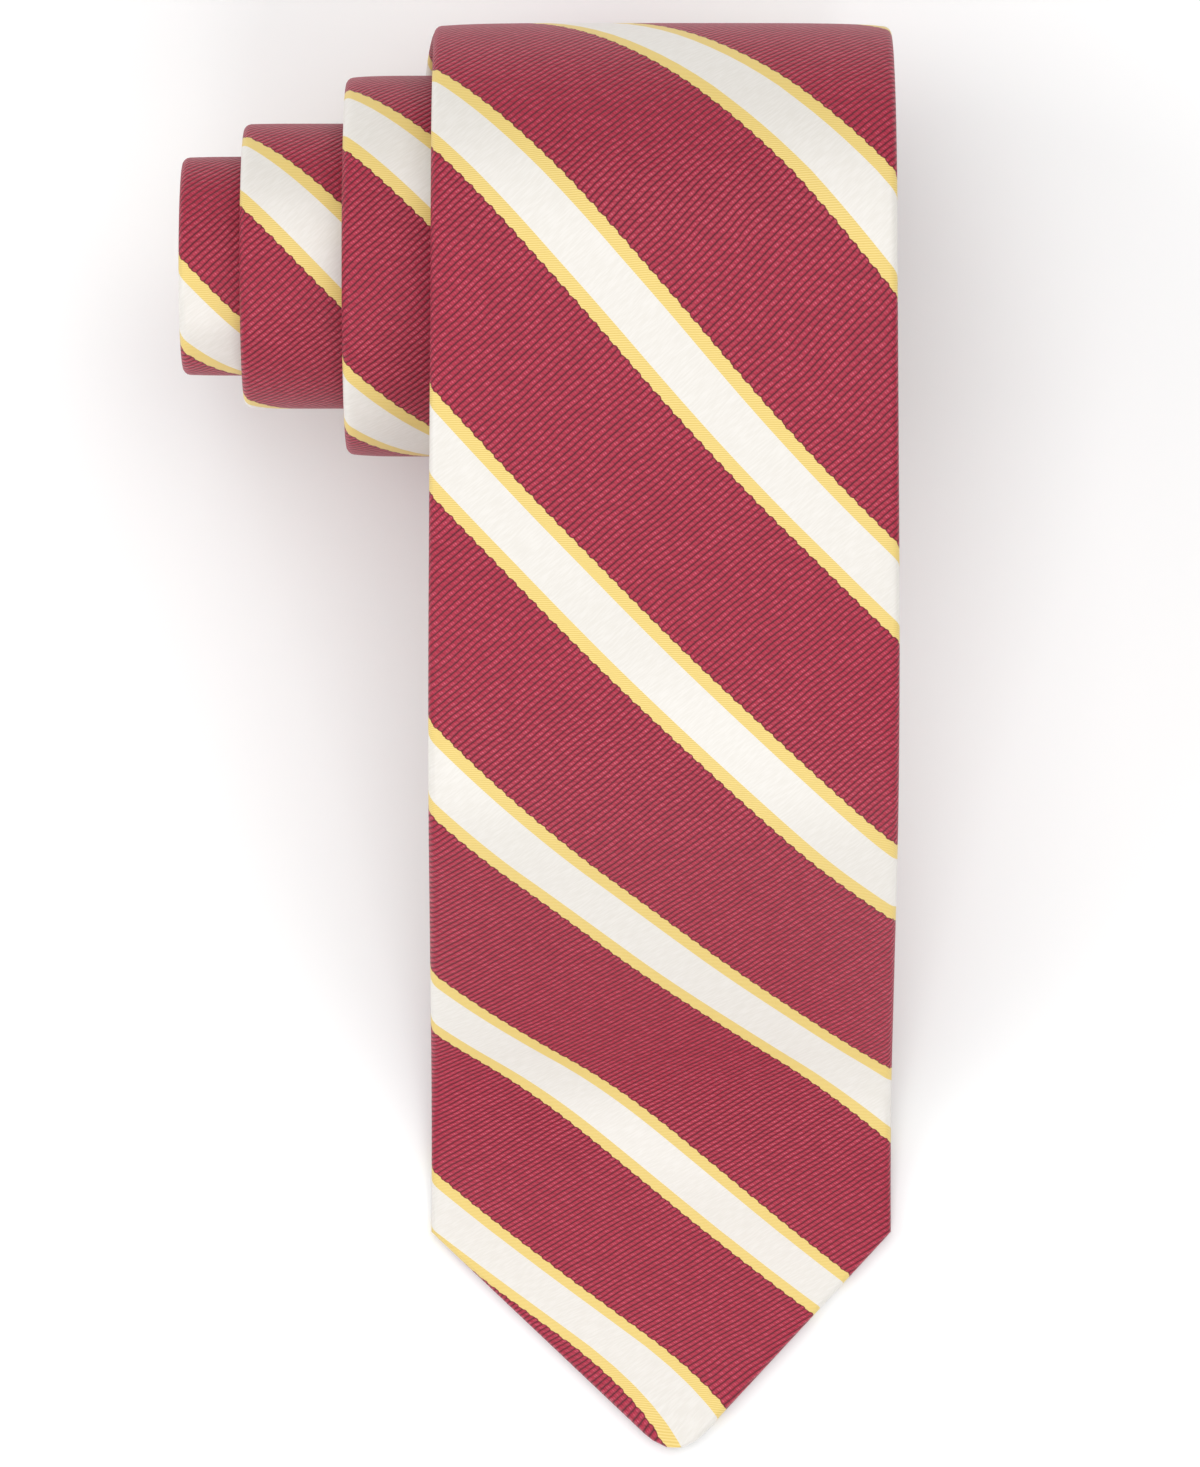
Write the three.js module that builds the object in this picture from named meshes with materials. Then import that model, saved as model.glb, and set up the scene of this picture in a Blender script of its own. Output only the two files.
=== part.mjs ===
// A rolled silk necktie: the blade lies out flat to its point, the rest is wound
// into a round roll whose inner turns step out to one side.
// Millimetres, +Z up, +Y towards the roll, the roll's axis along X.

import * as THREE from 'three';
import { mergeVertices } from 'three/addons/utils/BufferGeometryUtils.js';

const degree = Math.PI / 180;

// Cloth and layers
const shellThickness = 0.5;
const liningThickness = 1.0;
const layerGap = 0.3;
const cutGap = 0.3;
const tieThickness = 2 * shellThickness + liningThickness + 2 * layerGap;
const edgeRadius = tieThickness / 2;

// The roll. Each list runs from the outermost turn, whose crest carries the blade, inwards.
const coreRadius = 13.2;
const looseness = [2.0, 2.0, 1.6, 1.6, 0.3, 0.3, 0.4, 0.4];
const crestWidths = [80, 60, 40, 34, 38, 41, 43, 44, 44];
const leftSteps = [0, 0.5, -16, 0.5, -18.4, 0.5, -11.3, 0.5, 0.5];
const underSwing = 4;
const turnSteps = 16;
const tailTurns = 7.6;

// The blade, from the crest of the roll to its point
const bladeWidth = 82.5;
const levelRun = 64.5;
const dropAngle = 50 * degree;
const brinkRadius = 45;
const footRadius = 30;
const flatRun = 44.4;
const bladePointLength = 38.6;
const bladePointOffset = 2.5;
const tailPointLength = 19;
const pointBluntness = 6;
const bendStep = 10 * degree;
const foldCorners = [90, 30, -30, -90];
const weldDistance = 1e-3;
const hair = 1e-6;

// Back of the tie
const seamGap = 0.8;
const marginWidth = 14;
const bladeTippingLength = 96;
const tailTippingLength = 50;
const openingTaper = 30;
const tippingStart = 16;
const tailTippingStart = 8;
const tackReach = 1;
const threadMargin = 3;
const threadWidth = 0.9;
const threadThickness = 0.3;
const tackSize = { across: 9, along: 1.6, thick: 0.6 };

// Keeper loop, labels and their tacks
const keeper = { fromCrest: 53, span: 46, foot: 4, height: 12, rise: 5.6, thick: 0.8, steps: 12 };
const keeperTack = { across: 2.6, along: 9, thick: 0.6 };
const makerLabel = { fromPoint: 116, across: 44, along: 16, thick: 0.5 };
const labelStitch = { across: 1.2, along: 13, thick: 0.4 };
const careLabel = { fromPoint: 138, across: 18, drop: 22, thick: 0.4, standOff: 1.2 };
const careTack = { across: 14, along: 1.2, thick: 0.5 };

// The path of the tie

const lerp = THREE.MathUtils.lerp;
const clamp = THREE.MathUtils.clamp;

// Outer-face radius at each crest, from the core outwards, then read from outside in
const crestRadii = [coreRadius];
for (let turn = looseness.length - 1; turn >= 0; turn -= 1) {
  crestRadii.unshift(crestRadii[0] + tieThickness + looseness[turn]);
}
const leftEdges = [-crestWidths[0] / 2];
for (let turn = 1; turn < leftSteps.length; turn += 1) {
  leftEdges.push(leftEdges[turn - 1] + leftSteps[turn]);
}

// How far round the lower half of a turn an angle lies, from 0 at its start to 1 at its end
function lowerShare(angle, turn) {
  return clamp((angle - (2 * turn + 0.5) * Math.PI) / Math.PI, 0, 1);
}

// A value that holds over the upper half of each turn and changes over the lower half
function steppedValue(list, angle) {
  const turn = Math.min(Math.floor(angle / (2 * Math.PI)), list.length - 2);
  const share = lowerShare(angle, turn);
  return lerp(list[turn], list[turn + 1], share * share * (3 - 2 * share));
}

// The roll stands on a short flat under its outer turn, half a step each side of the bottom
const halfStep = Math.PI / turnSteps;
const axisHeight = steppedValue(crestRadii, Math.PI + halfStep) * Math.cos(halfStep);
const crestHeight = axisHeight + crestRadii[0];

// A station holds the outer face's point and outward normal, and the tie's middle and width.
// The first turn swings out to the left as it passes under the roll.
function rollStation(angle) {
  const radius = steppedValue(crestRadii, angle);
  const width = steppedValue(crestWidths, angle);
  const rawHeight = axisHeight + radius * Math.cos(angle);
  const swing = underSwing * Math.sin(Math.PI * lowerShare(angle, 0));
  return {
    y: radius * Math.sin(angle),
    z: Math.max(rawHeight, 0),
    ny: Math.sin(angle),
    nz: Math.cos(angle),
    middle: steppedValue(leftEdges, angle) + width / 2 - swing,
    halfWidth: width / 2,
  };
}

const bendDrop = 1 - Math.cos(dropAngle);
const brinkArc = brinkRadius * dropAngle;
const slopeRun = (crestHeight - tieThickness - (brinkRadius + footRadius) * bendDrop)
  / Math.sin(dropAngle);
const footArc = footRadius * dropAngle;
const brinkStart = levelRun;
const slopeStart = brinkStart + brinkArc;
const footStart = slopeStart + slopeRun;
const flatStart = footStart + footArc;
const bladeRun = flatStart + flatRun;

// The outer face's line from the crest down to the point; run is the length from the crest
function bladeLine(run) {
  if (run <= brinkStart) {
    return { y: -run, z: crestHeight, slope: 0 };
  }
  const brinkSlope = Math.min(run - brinkStart, brinkArc) / brinkRadius;
  let y = -brinkStart - brinkRadius * Math.sin(brinkSlope);
  let z = crestHeight - brinkRadius * (1 - Math.cos(brinkSlope));
  const downSlope = clamp(run - slopeStart, 0, slopeRun);
  y -= downSlope * Math.cos(dropAngle);
  z -= downSlope * Math.sin(dropAngle);
  if (run <= footStart) {
    return { y, z, slope: brinkSlope };
  }
  const footSlope = dropAngle - Math.min(run - footStart, footArc) / footRadius;
  y -= footRadius * (Math.sin(dropAngle) - Math.sin(footSlope));
  z -= footRadius * (Math.cos(footSlope) - Math.cos(dropAngle));
  y -= Math.max(run - flatStart, 0);
  return { y, z, slope: footSlope };
}

function bladeStation(run) {
  const line = bladeLine(run);
  const fromPoint = bladeRun - run;
  const pointShare = clamp(1 - fromPoint / bladePointLength, 0, 1);
  const bodyShare = clamp(run / (bladeRun - bladePointLength), 0, 1);
  const bodyWidth = lerp(crestWidths[0], bladeWidth, bodyShare);
  return {
    y: line.y,
    z: line.z,
    ny: -Math.sin(line.slope),
    nz: Math.cos(line.slope),
    middle: bladePointOffset * pointShare,
    halfWidth: lerp(bodyWidth, pointBluntness, pointShare) / 2,
  };
}

// Runs at which the blade needs a station
const bladeRuns = [0, levelRun / 2];
for (let slope = 0; slope < dropAngle + hair; slope += bendStep) {
  bladeRuns.push(brinkStart + brinkRadius * slope);
  bladeRuns.push(footStart + footRadius * slope);
}
bladeRuns.push(bladeRun - bladePointLength, bladeRun - tippingStart, bladeRun);
bladeRuns.push(bladeRun - bladeTippingLength, bladeRun - bladeTippingLength + openingTaper);
bladeRuns.sort((a, b) => b - a);

const stations = [];
for (const run of bladeRuns) {
  stations.push({ ...bladeStation(run), along: bladeRun - run });
}
const crestIndex = stations.length - 1;

// Distance along the middle of the tie's thickness between two stations
function stepLength(from, to) {
  const y = to.y - from.y - (to.ny - from.ny) * edgeRadius;
  const z = to.z - from.z - (to.nz - from.nz) * edgeRadius;
  return Math.hypot(y, z);
}

const tailSteps = Math.round(tailTurns * turnSteps);
for (let step = 0; step < tailSteps; step += 1) {
  const next = rollStation((step + 0.5) * 2 * halfStep);
  const last = stations[stations.length - 1];
  stations.push({ ...next, along: last.along + stepLength(last, next) });
}
const tieLength = stations[stations.length - 1].along;

// The tail narrows to its own point
for (const station of stations) {
  const fromEnd = tieLength - station.along;
  station.fromEnd = fromEnd;
  const share = clamp(1 - fromEnd / tailPointLength, 0, 1);
  station.halfWidth = lerp(station.halfWidth, pointBluntness / 2, share);
}

function stationBetween(index) {
  const low = Math.min(Math.floor(index), stations.length - 2);
  const share = index - low;
  const mixed = {};
  for (const key of Object.keys(stations[low])) {
    mixed[key] = lerp(stations[low][key], stations[low + 1][key], share);
  }
  return mixed;
}

function indexAtLength(along) {
  let low = 0;
  while (low < stations.length - 2 && stations[low + 1].along < along) {
    low += 1;
  }
  const span = stations[low + 1].along - stations[low].along;
  return low + (along - stations[low].along) / span;
}

function indexAtAngle(angle) {
  return crestIndex + 0.5 + angle / (2 * halfStep);
}

// Sections across the tie

// Half the opening between the two folded margins on the back
function openingAt(station) {
  const open = (length, distance) => clamp((length - distance) / openingTaper, 0, 1);
  const share = Math.max(open(bladeTippingLength, station.along),
    open(tailTippingLength, station.fromEnd));
  const widest = Math.max(station.halfWidth - marginWidth - seamGap, 0);
  return seamGap + widest * share;
}

// A section is two lists of [across, depth] points, outer and inner, that pair up
function foldedEdge(station, radius, side) {
  const points = [];
  for (const turn of foldCorners) {
    const across = station.halfWidth - edgeRadius + radius * Math.cos(turn * degree);
    points.push([side * across, edgeRadius + radius * Math.sin(turn * degree)]);
  }
  return side > 0 ? points : points.reverse();
}

function shellSection(station) {
  const gap = openingAt(station);
  const wrap = (radius, depth) => [
    [gap, depth],
    ...foldedEdge(station, radius, 1),
    ...foldedEdge(station, radius, -1),
    [-gap, depth],
  ];
  return {
    outer: wrap(edgeRadius, tieThickness),
    inner: wrap(edgeRadius - shellThickness, tieThickness - shellThickness),
  };
}

function flatSection(halfWidth, outerDepth, innerDepth) {
  return {
    outer: [[halfWidth, outerDepth], [-halfWidth, outerDepth]],
    inner: [[halfWidth, innerDepth], [-halfWidth, innerDepth]],
  };
}

const liningDepth = shellThickness + layerGap;
const liningSection = (station) => flatSection(station.halfWidth - edgeRadius,
  liningDepth, liningDepth + liningThickness);
const tippingSection = (station) => flatSection(openingAt(station) - layerGap,
  tieThickness - shellThickness, tieThickness);
const threadDepth = tieThickness - shellThickness / 2 - threadThickness / 2;
const threadSection = () => flatSection(threadWidth / 2,
  threadDepth, threadDepth + threadThickness);

function sectionPoint(station, [across, depth]) {
  return new THREE.Vector3(
    station.middle + across,
    station.y - depth * station.ny,
    station.z - depth * station.nz,
  );
}

// Solids swept along the path

// Ring of 3D points at a place between two stations, on the flats between them
function ringAt(section, index) {
  const low = Math.min(Math.floor(index + hair), stations.length - 2);
  const share = index - low;
  const ringOf = (station) => {
    const { outer, inner } = section(station);
    return [...outer, ...inner.slice().reverse()].map((point) => sectionPoint(station, point));
  };
  const first = ringOf(stations[low]);
  const second = ringOf(stations[low + 1]);
  return first.map((point, i) => point.clone().lerp(second[i], share));
}

function solidFromRings(rings) {
  const size = rings[0].length;
  const corners = [];
  const quad = (a, b, c, d) => corners.push(a, b, c, a, c, d);
  for (let ring = 0; ring < rings.length - 1; ring += 1) {
    for (let i = 0; i < size; i += 1) {
      const j = (i + 1) % size;
      quad(rings[ring][i], rings[ring][j], rings[ring + 1][j], rings[ring + 1][i]);
    }
  }
  const cap = (ring, flip) => {
    for (let i = 0; i < size / 2 - 1; i += 1) {
      const across = [ring[i], ring[size - 1 - i], ring[size - 2 - i], ring[i + 1]];
      quad(...(flip ? across.reverse() : across));
    }
  };
  cap(rings[0], false);
  cap(rings[rings.length - 1], true);
  const geometry = new THREE.BufferGeometry().setFromPoints(corners);
  return mergeVertices(geometry, weldDistance);
}

function signedVolume(geometry) {
  const position = geometry.attributes.position;
  const index = geometry.index;
  const a = new THREE.Vector3();
  const b = new THREE.Vector3();
  const c = new THREE.Vector3();
  let total = 0;
  for (let i = 0; i < index.count; i += 3) {
    a.fromBufferAttribute(position, index.getX(i));
    b.fromBufferAttribute(position, index.getX(i + 1));
    c.fromBufferAttribute(position, index.getX(i + 2));
    total += a.dot(b.cross(c)) / 6;
  }
  return total;
}

function faceOutwards(geometry) {
  if (signedVolume(geometry) < 0) {
    const index = geometry.index;
    for (let i = 0; i < index.count; i += 3) {
      const second = index.getX(i + 1);
      index.setX(i + 1, index.getX(i + 2));
      index.setX(i + 2, second);
    }
  }
  geometry.computeVertexNormals();
  return geometry;
}

// Sweep a section from one place to another along the tie
function sweep(section, from, to) {
  const places = [from];
  for (let index = Math.floor(from + 1 + hair); index < to - hair; index += 1) {
    places.push(index);
  }
  places.push(to);
  return faceOutwards(solidFromRings(places.map((index) => ringAt(section, index))));
}

// Materials

function cloth(color, roughness) {
  return new THREE.MeshStandardMaterial({ color, roughness, metalness: 0 });
}

const silk = cloth(0x9b2042, 0.5);
const wool = cloth(0xe9e4d6, 0.95);
const tippingSilk = cloth(0x8c1c3c, 0.4);
const thread = cloth(0x7a1532, 0.7);
const labelCloth = cloth(0xf1ece0, 0.75);

const tie = new THREE.Group();

function addPiece(name, geometry, material, parent = tie) {
  const mesh = new THREE.Mesh(geometry, material);
  mesh.name = name;
  parent.add(mesh);
  return mesh;
}

// Each length of the tie moves by itself, so its layers stop half a cut gap short of its ends
const lastIndex = stations.length - 1;
const lengths = [
  { name: 'blade', from: 0, to: crestIndex },
  { name: 'outer_turn', from: crestIndex, to: indexAtAngle(3 * Math.PI) },
  { name: 'middle_turn', from: indexAtAngle(3 * Math.PI), to: indexAtAngle(7 * Math.PI) },
  { name: 'inner_turn', from: indexAtAngle(7 * Math.PI), to: indexAtAngle(11 * Math.PI) },
  { name: 'tail', from: indexAtAngle(11 * Math.PI), to: lastIndex },
];

function lengthBeside(index, distance) {
  const along = stationBetween(index).along + distance;
  return indexAtLength(along);
}

for (const { name, from, to } of lengths) {
  const start = from === 0 ? 0 : lengthBeside(from, cutGap / 2);
  const end = to === lastIndex ? lastIndex : lengthBeside(to, -cutGap / 2);
  addPiece(`${name}_shell`, sweep(shellSection, start, end), silk);
  const liningStart = from === 0 ? indexAtLength(edgeRadius) : start;
  const liningEnd = to === lastIndex ? indexAtLength(tieLength - edgeRadius) : end;
  addPiece(`${name}_interlining`, sweep(liningSection, liningStart, liningEnd), wool);
  const seamStart = from === 0 ? indexAtLength(bladeTippingLength + threadMargin) : start;
  const seamEnd = to === lastIndex
    ? indexAtLength(tieLength - tailTippingLength - threadMargin) : end;
  addPiece(`${name}_slip_stitch`, sweep(threadSection, seamStart, seamEnd), thread);
}

addPiece('blade_tipping', sweep(tippingSection, indexAtLength(tippingStart),
  indexAtLength(bladeTippingLength)), tippingSilk);
addPiece('tail_tipping', sweep(tippingSection, indexAtLength(tieLength - tailTippingLength),
  indexAtLength(tieLength - tailTippingStart)), tippingSilk);

// A frame on the back face: X across, Y towards the blade's point, Z out of the back
function backFrame(along) {
  const index = indexAtLength(along);
  const station = stationBetween(index);
  const before = stationBetween(Math.floor(index + hair));
  const after = stationBetween(Math.floor(index + hair) + 1);
  const backOf = (place) => sectionPoint(place, [0, tieThickness]);
  const run = backOf(before).sub(backOf(after));
  run.x = 0;
  run.normalize();
  const across = new THREE.Vector3(1, 0, 0);
  const out = new THREE.Vector3().crossVectors(across, run);
  const frame = new THREE.Group();
  frame.matrix.makeBasis(across, run, out);
  frame.quaternion.setFromRotationMatrix(frame.matrix);
  frame.position.copy(backOf(station));
  frame.updateMatrix();
  tie.add(frame);
  return frame;
}

function box({ across, along, thick }) {
  return new THREE.BoxGeometry(across, along, thick);
}

// Height of a piece's middle when it lies on the back, above what is already there
function layOn(size, below = 0) {
  return below + layerGap + size.thick / 2;
}

const bladeTackFrame = backFrame(bladeTippingLength + tackReach);
addPiece('blade_bar_tack', box(tackSize), thread, bladeTackFrame).position.z = layOn(tackSize);

// The keeper loop is a low arch of cloth, tacked down at its two feet
const crestAlong = stations[crestIndex].along;
const keeperFrame = backFrame(crestAlong - keeper.fromCrest);
const keeperLine = [[-keeper.span / 2 - keeper.foot, 0]];
for (let step = 0; step <= keeper.steps; step += 1) {
  const share = step / keeper.steps;
  const rise = keeper.rise * Math.sqrt(Math.sin(Math.PI * share));
  keeperLine.push([(share - 0.5) * keeper.span, step % keeper.steps === 0 ? 0 : rise]);
}
keeperLine.push([keeper.span / 2 + keeper.foot, 0]);
const keeperShape = new THREE.Shape();
keeperLine.forEach(([across, rise], i) => {
  const place = [across, layerGap + rise];
  if (i === 0) {
    keeperShape.moveTo(...place);
  } else {
    keeperShape.lineTo(...place);
  }
});
for (const [across, rise] of keeperLine.slice().reverse()) {
  keeperShape.lineTo(across, layerGap + rise + keeper.thick);
}
const keeperGeometry = new THREE.ExtrudeGeometry(keeperShape,
  { depth: keeper.height, bevelEnabled: false });
keeperGeometry.rotateX(Math.PI / 2);
keeperGeometry.translate(0, keeper.height / 2, 0);
addPiece('keeper_loop', keeperGeometry, silk, keeperFrame);
for (const [side, name] of [[-1, 'keeper_tack_left'], [1, 'keeper_tack_right']]) {
  const tack = addPiece(name, box(keeperTack), thread, keeperFrame);
  tack.position.x = side * (keeper.span + keeper.foot) / 2;
  tack.position.z = layOn(keeperTack, layerGap + keeper.thick);
}

const labelFrame = backFrame(makerLabel.fromPoint);
addPiece('maker_label', box(makerLabel), labelCloth, labelFrame).position.z = layOn(makerLabel);
for (const [side, name] of [[-1, 'label_stitch_left'], [1, 'label_stitch_right']]) {
  const stitch = addPiece(name, box(labelStitch), thread, labelFrame);
  stitch.position.x = side * (makerLabel.across / 2 - labelStitch.across);
  stitch.position.z = layOn(labelStitch, layerGap + makerLabel.thick);
}

// The care label hangs straight down from its sewn edge
const careFrame = backFrame(careLabel.fromPoint);
const tack = addPiece('care_label_tack', box(careTack), thread, careFrame);
tack.position.set(0, -careTack.along, layOn(careTack));
const careHinge = new THREE.Vector3(0, 0, careLabel.standOff);
careHinge.applyQuaternion(careFrame.quaternion).add(careFrame.position);
const careHanger = new THREE.Group();
careHanger.position.copy(careHinge);
tie.add(careHanger);
const carePlate = new THREE.BoxGeometry(careLabel.across, careLabel.thick, careLabel.drop);
addPiece('care_label', carePlate, labelCloth, careHanger).position.z = -careLabel.drop / 2;

// The roll is tight at the tail, so the tack there lies on the middle of one of its flats
const tailTackPlace = Math.floor(indexAtLength(tieLength - tailTippingLength - tackReach)) + 0.5;
const tailTackFrame = backFrame(stationBetween(tailTackPlace).along);
addPiece('tail_bar_tack', box(tackSize), thread, tailTackFrame).position.z = layOn(tackSize);

// Origin: bottom middle of the whole tie
tie.updateMatrixWorld(true);
const bounds = new THREE.Box3().setFromObject(tie, true);
const middle = bounds.getCenter(new THREE.Vector3());
tie.position.set(-middle.x, -middle.y, -bounds.min.z);

export default tie;
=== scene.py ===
import math
import bpy
import numpy as np
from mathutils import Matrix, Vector


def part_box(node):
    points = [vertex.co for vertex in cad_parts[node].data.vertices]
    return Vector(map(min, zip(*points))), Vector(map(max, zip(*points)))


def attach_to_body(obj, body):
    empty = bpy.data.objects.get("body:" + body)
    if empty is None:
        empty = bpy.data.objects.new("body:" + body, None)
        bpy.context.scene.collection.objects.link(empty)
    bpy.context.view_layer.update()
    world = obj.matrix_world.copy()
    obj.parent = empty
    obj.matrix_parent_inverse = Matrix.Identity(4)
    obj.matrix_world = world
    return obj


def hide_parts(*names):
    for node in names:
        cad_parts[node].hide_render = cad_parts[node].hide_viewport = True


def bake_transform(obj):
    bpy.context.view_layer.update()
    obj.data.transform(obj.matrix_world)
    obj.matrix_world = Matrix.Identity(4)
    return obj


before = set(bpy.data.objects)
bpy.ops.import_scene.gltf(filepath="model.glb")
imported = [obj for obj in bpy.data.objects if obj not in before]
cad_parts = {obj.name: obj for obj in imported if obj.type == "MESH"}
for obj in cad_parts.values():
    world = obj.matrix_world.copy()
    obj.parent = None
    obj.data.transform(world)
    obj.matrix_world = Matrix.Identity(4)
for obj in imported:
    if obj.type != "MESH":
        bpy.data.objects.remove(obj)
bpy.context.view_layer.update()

# The tie's path in its own millimetres: y = 0 and x = 0 at the crest's middle, z = 0 on the table
path = {
    "shell": 0.5, "lining": 1.0, "layerGap": 0.3,
    "coreRadius": 13.2, "looseness": [2.0, 2.0, 1.6, 1.6, 0.3, 0.3, 0.4, 0.4],
    "crestWidths": [80, 60, 40, 34, 38, 41, 43, 44, 44],
    "leftSteps": [0.5, -16, 0.5, -18.4, 0.5, -11.3, 0.5, 0.5], "underSwing": 4,
    "tailTurns": 7.6, "tailEndTrim": 0.03125, "flatHalfTurn": 1 / 32,
    "bladeWidth": 82.5, "levelRun": 52.8, "dropAngle": math.radians(50),
    "brinkRadius": 70, "footRadius": 44, "flatRun": 37.8,
    "pointLength": 38.6, "pointOffset": 2.5, "tailPointLength": 19, "bluntness": 6,
    "tipRounding": 2.2, "tipShare": 0.55,
    "bladeStep": 1.2, "rollStep": 1 / 90, "crestGap": 0.15,
}
thick = 2 * path["shell"] + path["lining"] + 2 * path["layerGap"]
edgeRadius = thick / 2
bladeMark = 1000  # where the roll's stations hold their turn, the blade's hold minus their run over this
mm = 0.001


def lerp(a, b, t):
    return a + (b - a) * t


def smooth(t):
    t = np.clip(t, 0, 1)
    return t * t * (3 - 2 * t)


crestRadii = [path["coreRadius"]]
for loose in reversed(path["looseness"]):
    crestRadii.insert(0, crestRadii[0] + thick + loose)
leftEdges = [-path["crestWidths"][0] / 2]
for move in path["leftSteps"]:
    leftEdges.append(leftEdges[-1] + move)


def evenValue(values, turns):
    return np.interp(turns, range(len(values)), values)


def lowerShare(turnPart):  # 0 where a turn's lower half starts, 1 where it ends
    return (turnPart - 0.25) / 0.5


def steppedValue(values, turns):  # holds over the upper half of a turn, changes under it
    whole = np.floor(turns)
    return evenValue(values, whole + smooth(lowerShare(turns - whole)))


flatTurn = 0.5 + path["flatHalfTurn"]
axisHeight = float(steppedValue(crestRadii, flatTurn)) * math.cos(math.tau * path["flatHalfTurn"])
crestHeight = axisHeight + crestRadii[0]
dropSin, dropCos = math.sin(path["dropAngle"]), math.cos(path["dropAngle"])
slopeRun = (crestHeight - thick - (path["brinkRadius"] + path["footRadius"]) * (1 - dropCos)) / dropSin
slopeStart = path["levelRun"] + path["brinkRadius"] * path["dropAngle"]
footStart = slopeStart + slopeRun
flatStart = footStart + path["footRadius"] * path["dropAngle"]
bladeRun = flatStart + path["flatRun"]


def bladeLine(run):  # outer face from the crest to the point
    brink = np.clip((run - path["levelRun"]) / path["brinkRadius"], 0, path["dropAngle"])
    down = np.clip(run - slopeStart, 0, slopeRun)
    foot = path["dropAngle"] - np.clip((run - footStart) / path["footRadius"], 0, path["dropAngle"])
    inFoot = run > footStart
    slope = np.where(inFoot, foot, brink)
    y = -np.minimum(run, path["levelRun"]) - path["brinkRadius"] * np.sin(brink) - down * dropCos
    z = crestHeight - path["brinkRadius"] * (1 - np.cos(brink)) - down * dropSin
    y = y - np.where(inFoot, path["footRadius"] * (dropSin - np.sin(foot)), 0)
    z = z - np.where(inFoot, path["footRadius"] * (np.cos(foot) - dropCos), 0)
    y = y - np.clip(run - flatStart, 0, None)
    return y, z, slope


def buildStations():
    run = np.linspace(bladeRun, 0, int(bladeRun / path["bladeStep"]))
    y, z, slope = bladeLine(run)
    toPoint = bladeRun - run
    pointShare = np.clip(1 - toPoint / path["pointLength"], 0, 1)
    body = lerp(path["crestWidths"][0], path["bladeWidth"],
                np.clip(run / (bladeRun - path["pointLength"]), 0, 1))
    tipRun = np.clip(toPoint / path["tipRounding"], 0, 1)
    roundTip = np.sqrt(tipRun * (2 - tipRun))
    width = lerp(body, path["bluntness"], pointShare) * lerp(path["tipShare"], 1, roundTip)
    blade = dict(y=y, z=z, ny=-np.sin(slope), nz=np.cos(slope), body=body / 2, half=width / 2,
                 middle=path["pointOffset"] * pointShare, turns=-run / bladeMark)
    last = path["tailTurns"] - path["tailEndTrim"]
    turns = np.arange(1, int(last / path["rollStep"]) + 1) * path["rollStep"]
    radius = steppedValue(crestRadii, turns)
    angle = turns * math.tau
    width = steppedValue(path["crestWidths"], turns)
    swing = path["underSwing"] * np.sin(math.pi * np.clip(lowerShare(turns), 0, 1))
    roll = dict(y=radius * np.sin(angle), z=np.maximum(axisHeight + radius * np.cos(angle), 0),
                ny=np.sin(angle), nz=np.cos(angle), body=width / 2, half=width / 2,
                middle=steppedValue(leftEdges, turns) + width / 2 - swing, turns=turns)
    both = {key: np.concatenate([blade[key], roll[key]]) for key in blade}
    midY = both["y"] - both["ny"] * edgeRadius
    midZ = both["z"] - both["nz"] * edgeRadius
    both["along"] = np.concatenate([[0], np.cumsum(np.hypot(np.diff(midY), np.diff(midZ)))])
    both["fromEnd"] = both["along"][-1] - both["along"]
    tail = np.clip(1 - both["fromEnd"] / path["tailPointLength"], 0, 1)
    both["half"] = lerp(both["half"], path["bluntness"] / 2, tail)
    return both


stations = buildStations()
crestIndex = int(np.argmin(np.abs(stations["turns"])))
crestAlong = stations["along"][crestIndex]
tieLength = stations["along"][-1]

# Where the crest's middle lies in the shared frame, from the CAD pieces beside it
careLow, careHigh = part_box("care_label")
origin = np.array([(careLow[0] + careHigh[0]) / 2 / mm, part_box("blade_shell")[1][1] / mm + path["crestGap"]])
print("path ready, tie length", round(float(tieLength)), "mm, origin", origin.round(2))

# The striped cloth. Each blade stripe gives the run from the crest at which its middle meets the
# left edge, its number, and the width over which the pattern moves on by one repeat
stripes = {
    "bladeStripes": [(-28.5, 1, 58.5), (32, 2, 54), (89, 3, 57), (150, 4, 55), (197.5, 5, 51.5),
                     (236, 6, 50)],
    "crestPhases": {2: -6.485, 4: -12.678, 6: -17.14},
    "loopPitch": 55.5, "loopReach": 32, "endPitch": 57.5,
    "alongPitch": 60.0, "acrossPitch": 57.0,
    "creamHalf": 0.0985, "goldHalf": 0.156, "ribPitch": 1.0,
    "easeReach": 14, "easeSteps": 9,
}


def leftPhase(along):
    knots = [(-run, phase) for run, phase, pitch in stripes["bladeStripes"]]
    for turn, phase in stripes["crestPhases"].items():
        crest = float(np.interp(turn, stations["turns"], stations["along"])) - crestAlong
        for side in (-1, 1):
            shift = side * stripes["loopReach"]
            knots.append((crest + shift, phase - shift / stripes["loopPitch"]))
    inward, phases = np.array(sorted(knots)).T
    q = along - crestAlong
    beyond = phases[-1] - (q - inward[-1]) / stripes["endPitch"]
    return np.where(q > inward[-1], beyond, np.interp(q, inward, phases))


def leanAt(along):  # how the pattern's rate across the cloth differs from its usual rate
    runs, phases, pitches = np.array(stripes["bladeStripes"]).T
    pitch = np.interp(crestAlong - along, runs, pitches, left=stripes["acrossPitch"])
    return 1 / stripes["acrossPitch"] - 1 / pitch


# Averaged over a short stretch each way, so that no stripe has a corner in it
drift = np.linspace(-stripes["easeReach"], stripes["easeReach"], stripes["easeSteps"])[:, None]
stations["phase"] = leftPhase(stations["along"] + drift).mean(0)
stations["lean"] = leanAt(stations["along"] + drift).mean(0)

# The open back: margins meet at a seam and part over the tipping at each end
back = {"seamGap": 0.15, "margin": 14, "bladeTipping": 96, "tailTipping": 50, "taper": 30,
        "tippingStart": 16}


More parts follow.
